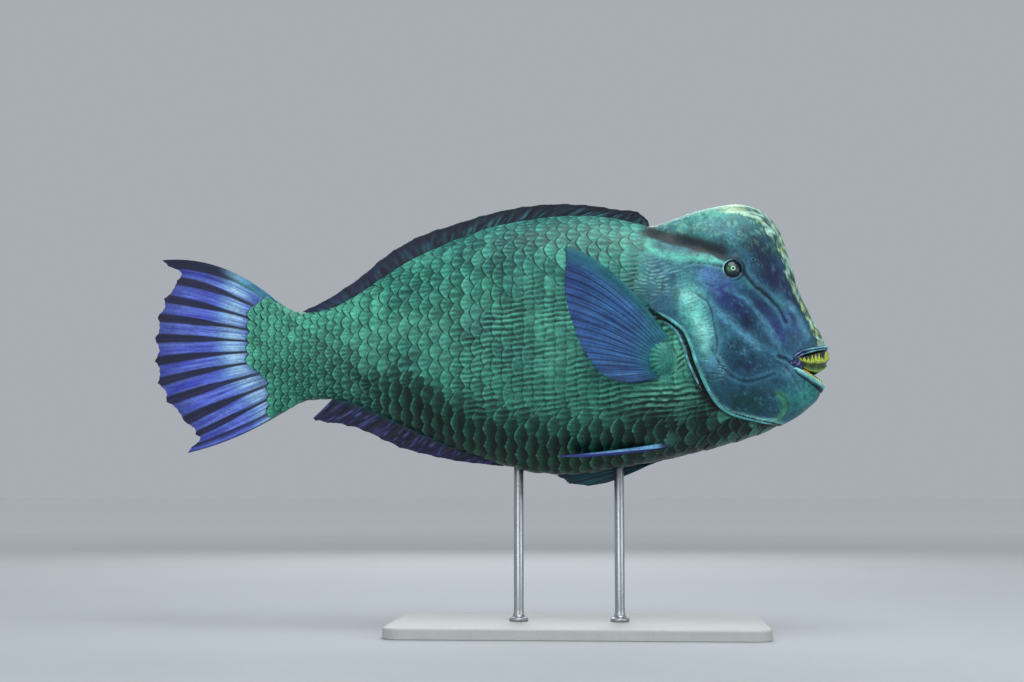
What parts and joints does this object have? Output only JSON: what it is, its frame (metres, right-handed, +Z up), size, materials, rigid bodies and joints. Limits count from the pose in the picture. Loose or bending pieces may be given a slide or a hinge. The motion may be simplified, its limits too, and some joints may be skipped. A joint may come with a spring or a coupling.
{
  "type": "bumphead parrotfish",
  "caption": "Life-size still model of a swimming bumphead parrotfish with raised scales, rayed fins and a beak, held by two short rods on a plain flat base.",
  "frame": {"origin": "middle of the stand base's underside", "axes": "+X towards the fish's head, +Y towards its left side, +Z up"},
  "size_m": [1.1112, 0.3536, 0.6989],
  "materials": {
    "scaled_skin": "wet satin scales, teal green with paler rims",
    "head_skin": "smooth wet skin, teal over violet blue",
    "beak_plate": "knobbly tooth plate, green yellow",
    "eyeball": "clear glossy eye, dark with a pale ring",
    "dark_fin": "near-black navy membrane with raised rays",
    "blue_fin": "violet-blue membrane with raised rays",
    "base_paint": "plain satin paint",
    "rod_steel": "fine brushed steel"
  },
  "bodies": {
    "root": {"head": "head_skin", "forehead_hump": "head_skin", "torso": "scaled_skin", "tail_stalk": "scaled_skin", "beak_upper": "beak_plate", "beak_lower": "beak_plate", "eye_right": "eyeball", "eye_left": "eyeball", "dorsal_fin": "dark_fin", "anal_fin": "dark_fin", "caudal_fin": "blue_fin", "pectoral_fin_right": "blue_fin", "pectoral_fin_left": "blue_fin", "pelvic_fin_right": "blue_fin", "pelvic_fin_left": "dark_fin", "stand_rod_front": "rod_steel", "stand_rod_rear": "rod_steel", "stand_base": "base_paint"}
  },
  "joints": []
}
